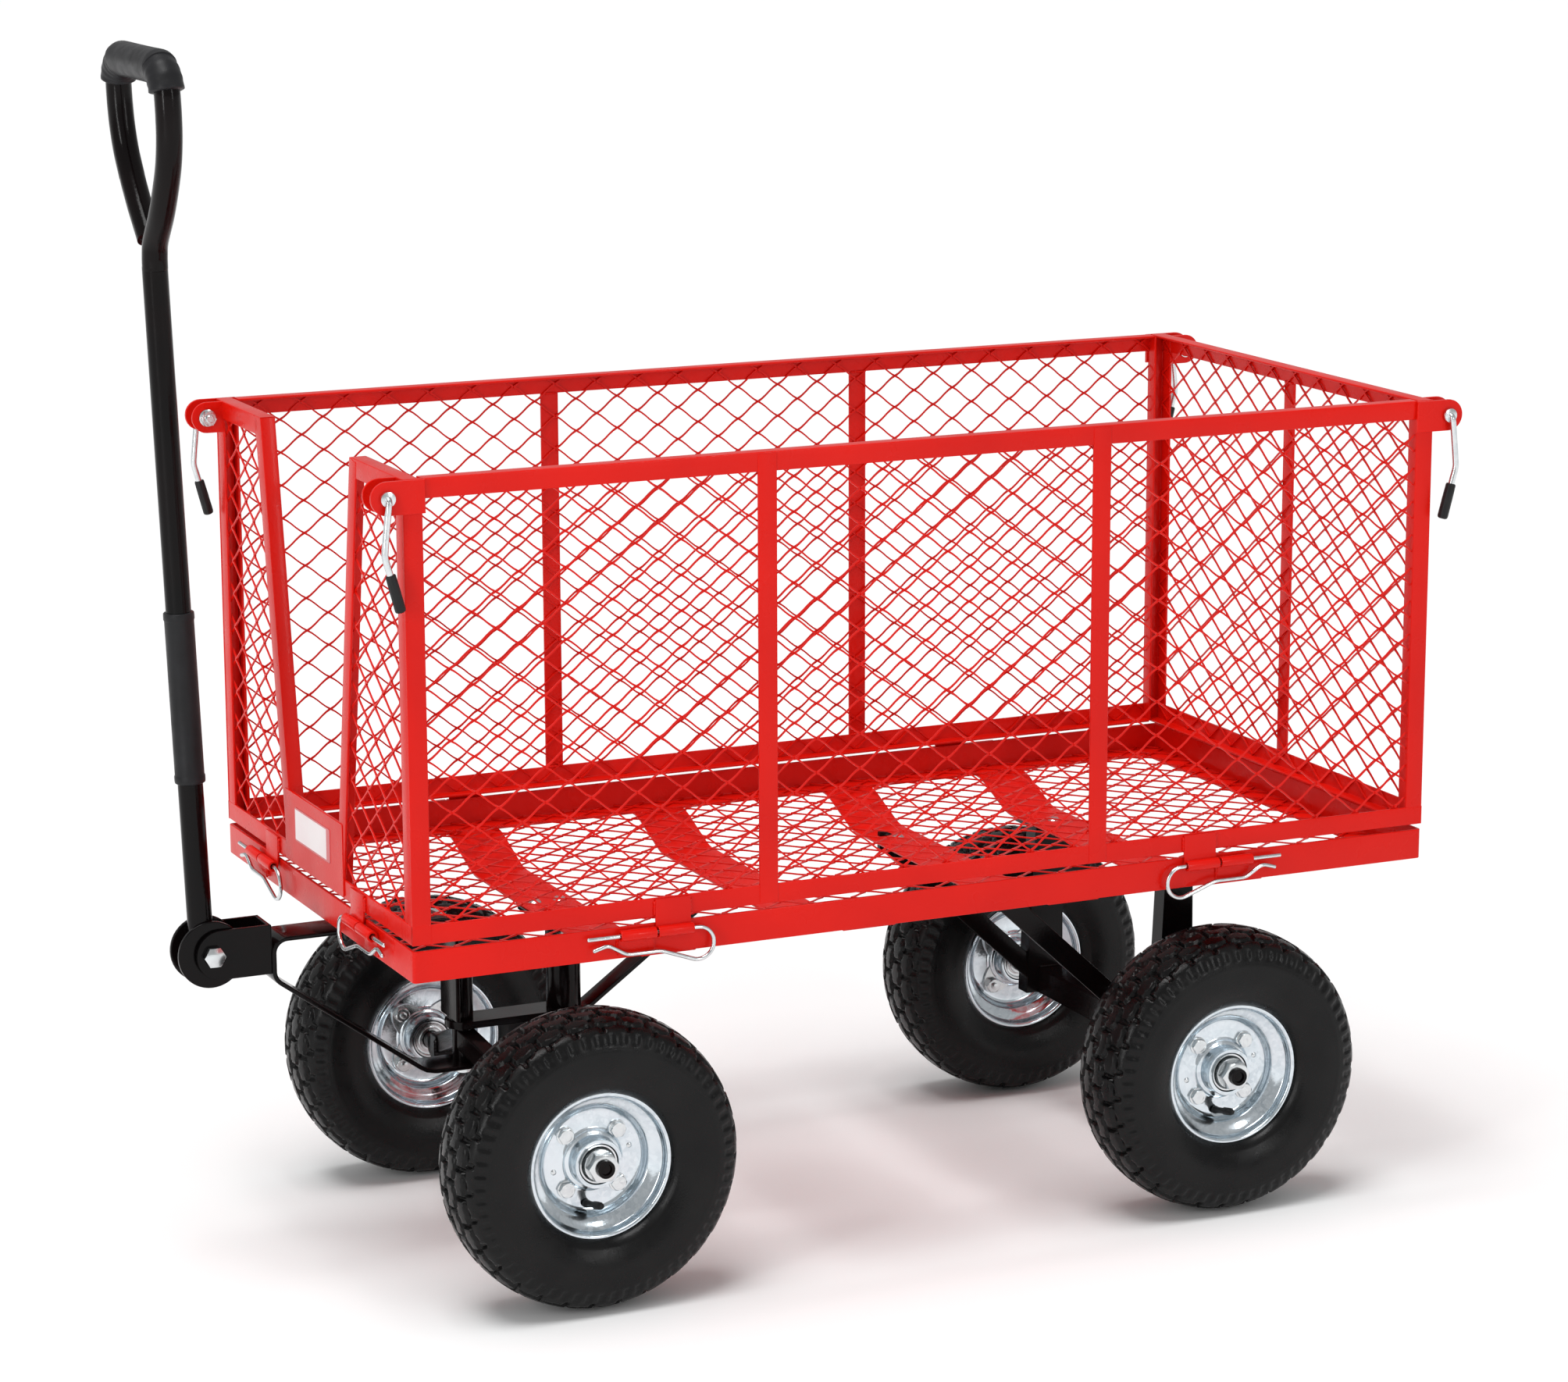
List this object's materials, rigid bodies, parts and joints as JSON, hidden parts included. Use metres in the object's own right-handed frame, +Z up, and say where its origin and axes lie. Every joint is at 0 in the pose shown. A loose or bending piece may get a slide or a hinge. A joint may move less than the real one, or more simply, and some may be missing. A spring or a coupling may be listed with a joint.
{
  "type": "garden cart",
  "caption": "Four-wheeled garden cart with a steel mesh tray, fold-down latched sides, pneumatic tyres and a steering axle pulled by an upright D-handle.",
  "frame": {"origin": "centre of the bounding box on the ground the wheels stand on", "axes": "+X towards the rear of the cart, the handle stands at -X; +Y towards the right side panel; +Z up"},
  "size_m": [1.1414, 0.51, 1.0632],
  "materials": {
    "red_powder_coat": "glossy red powder coat",
    "black_paint": "gloss black paint",
    "tyre_rubber": "matt black rubber",
    "soft_grip": "satin dark soft grip",
    "bright_zinc": "bright zinc plate"
  },
  "bodies": {
    "tray": {"tray_frame": "red_powder_coat", "floor_mesh": "red_powder_coat", "front_support": "black_paint", "rear_axle_frame": "black_paint", "axle_nut_rear_left": "bright_zinc", "axle_nut_rear_right": "bright_zinc"},
    "front_axle": {"front_axle": "black_paint", "kingpin_bolt": "bright_zinc", "handle_bolt": "bright_zinc", "axle_nut_front_left": "bright_zinc", "axle_nut_front_right": "bright_zinc"},
    "handle": {"handle_tube": "black_paint", "shaft_sleeve": "soft_grip", "top_grip": "soft_grip"},
    "panel_left": {"side_frame_left": "red_powder_coat", "side_mesh_left": "red_powder_coat"},
    "panel_right": {"side_frame_right": "red_powder_coat", "side_mesh_right": "red_powder_coat"},
    "panel_front": {"end_frame_front": "red_powder_coat", "end_mesh_front_left": "red_powder_coat", "end_mesh_front_right": "red_powder_coat", "latch_stud_front_left": "bright_zinc", "latch_stud_front_right": "bright_zinc"},
    "panel_rear": {"end_frame_rear": "red_powder_coat", "end_mesh_rear": "red_powder_coat", "latch_stud_rear_left": "bright_zinc", "latch_stud_rear_right": "bright_zinc"},
    "wheel_front_left": {"tyre_front_left": "tyre_rubber", "rim_front_left": "bright_zinc", "bearing_front_left": "bright_zinc", "hub_plate_front_left": "bright_zinc", "valve_front_left": "tyre_rubber"},
    "wheel_front_right": {"tyre_front_right": "tyre_rubber", "rim_front_right": "bright_zinc", "bearing_front_right": "bright_zinc", "hub_plate_front_right": "bright_zinc", "valve_front_right": "tyre_rubber"},
    "wheel_rear_left": {"tyre_rear_left": "tyre_rubber", "rim_rear_left": "bright_zinc", "bearing_rear_left": "bright_zinc", "hub_plate_rear_left": "bright_zinc", "valve_rear_left": "tyre_rubber"},
    "wheel_rear_right": {"tyre_rear_right": "tyre_rubber", "rim_rear_right": "bright_zinc", "bearing_rear_right": "bright_zinc", "hub_plate_rear_right": "bright_zinc", "valve_rear_right": "tyre_rubber"},
    "clip_left_a": {"clip_left_a": "bright_zinc"},
    "clip_left_b": {"clip_left_b": "bright_zinc"},
    "clip_right_a": {"clip_right_a": "bright_zinc"},
    "clip_right_b": {"clip_right_b": "bright_zinc"},
    "clip_front_a": {"clip_front_a": "bright_zinc"},
    "clip_front_b": {"clip_front_b": "bright_zinc"},
    "clip_rear_a": {"clip_rear_a": "bright_zinc"},
    "clip_rear_b": {"clip_rear_b": "bright_zinc"},
    "latch_front_left": {"latch_lever_front_left": "bright_zinc"},
    "latch_front_right": {"latch_lever_front_right": "bright_zinc"},
    "latch_rear_left": {"latch_lever_rear_left": "bright_zinc"},
    "latch_rear_right": {"latch_lever_rear_right": "bright_zinc"}
  },
  "joints": [
    {"name": "steer", "type": "hinge", "parent": "tray", "child": "front_axle", "pos_m": [-0.2923, 0, 0.2], "axis": [0, 0, 1], "range_deg": [-25, 25]},
    {"name": "handle_tilt", "type": "hinge", "parent": "front_axle", "child": "handle", "pos_m": [-0.5243, 0, 0.292], "axis": [0, -1, 0], "range_deg": [-5, 105]},
    {"name": "wheel_front_left_spin", "type": "hinge", "parent": "front_axle", "child": "wheel_front_left", "pos_m": [-0.2563, -0.202, 0.13], "axis": [0, 1, 0], "continuous": true},
    {"name": "wheel_front_right_spin", "type": "hinge", "parent": "front_axle", "child": "wheel_front_right", "pos_m": [-0.2563, 0.202, 0.13], "axis": [0, 1, 0], "continuous": true},
    {"name": "wheel_rear_left_spin", "type": "hinge", "parent": "tray", "child": "wheel_rear_left", "pos_m": [0.3577, -0.202, 0.13], "axis": [0, 1, 0], "continuous": true},
    {"name": "wheel_rear_right_spin", "type": "hinge", "parent": "tray", "child": "wheel_rear_right", "pos_m": [0.3577, 0.202, 0.13], "axis": [0, 1, 0], "continuous": true},
    {"name": "panel_left_fold", "type": "hinge", "parent": "tray", "child": "panel_left", "pos_m": [0.0587, -0.2485, 0.334], "axis": [1, 0, 0], "range_deg": [0, 140]},
    {"name": "panel_right_fold", "type": "hinge", "parent": "tray", "child": "panel_right", "pos_m": [0.0587, 0.2485, 0.334], "axis": [-1, 0, 0], "range_deg": [0, 140]},
    {"name": "panel_front_fold", "type": "hinge", "parent": "tray", "child": "panel_front", "pos_m": [-0.4313, 0, 0.334], "axis": [0, -1, 0], "range_deg": [0, 90]},
    {"name": "panel_rear_fold", "type": "hinge", "parent": "tray", "child": "panel_rear", "pos_m": [0.5487, 0, 0.334], "axis": [0, 1, 0], "range_deg": [0, 140]},
    {"name": "clip_left_a_swing", "type": "hinge", "parent": "tray", "child": "clip_left_a", "pos_m": [0.0587, -0.2485, 0.334], "axis": [1, 0, 0], "range_deg": [-60, 0]},
    {"name": "clip_left_b_swing", "type": "hinge", "parent": "tray", "child": "clip_left_b", "pos_m": [0.0587, -0.2485, 0.334], "axis": [1, 0, 0], "range_deg": [-60, 0]},
    {"name": "clip_right_a_swing", "type": "hinge", "parent": "tray", "child": "clip_right_a", "pos_m": [0.0587, 0.2485, 0.334], "axis": [-1, 0, 0], "range_deg": [-60, 0]},
    {"name": "clip_right_b_swing", "type": "hinge", "parent": "tray", "child": "clip_right_b", "pos_m": [0.0587, 0.2485, 0.334], "axis": [-1, 0, 0], "range_deg": [-60, 0]},
    {"name": "clip_front_a_swing", "type": "hinge", "parent": "tray", "child": "clip_front_a", "pos_m": [-0.4313, 0, 0.334], "axis": [0, -1, 0], "range_deg": [-60, 0]},
    {"name": "clip_front_b_swing", "type": "hinge", "parent": "tray", "child": "clip_front_b", "pos_m": [-0.4313, 0, 0.334], "axis": [0, -1, 0], "range_deg": [-60, 0]},
    {"name": "clip_rear_a_swing", "type": "hinge", "parent": "tray", "child": "clip_rear_a", "pos_m": [0.5487, 0, 0.334], "axis": [0, 1, 0], "range_deg": [-60, 0]},
    {"name": "clip_rear_b_swing", "type": "hinge", "parent": "tray", "child": "clip_rear_b", "pos_m": [0.5487, 0, 0.334], "axis": [0, 1, 0], "range_deg": [-60, 0]},
    {"name": "latch_front_left_swing", "type": "hinge", "parent": "panel_left", "child": "latch_front_left", "pos_m": [-0.4393, -0.2505, 0.7165], "axis": [0, 1, 0], "range_deg": [-90, 90]},
    {"name": "latch_front_right_swing", "type": "hinge", "parent": "panel_right", "child": "latch_front_right", "pos_m": [-0.4393, 0.2505, 0.7165], "axis": [0, 1, 0], "range_deg": [-90, 90]},
    {"name": "latch_rear_left_swing", "type": "hinge", "parent": "panel_left", "child": "latch_rear_left", "pos_m": [0.5567, -0.2505, 0.7165], "axis": [0, 1, 0], "range_deg": [-90, 90]},
    {"name": "latch_rear_right_swing", "type": "hinge", "parent": "panel_right", "child": "latch_rear_right", "pos_m": [0.5567, 0.2505, 0.7165], "axis": [0, 1, 0], "range_deg": [-90, 90]}
  ]
}
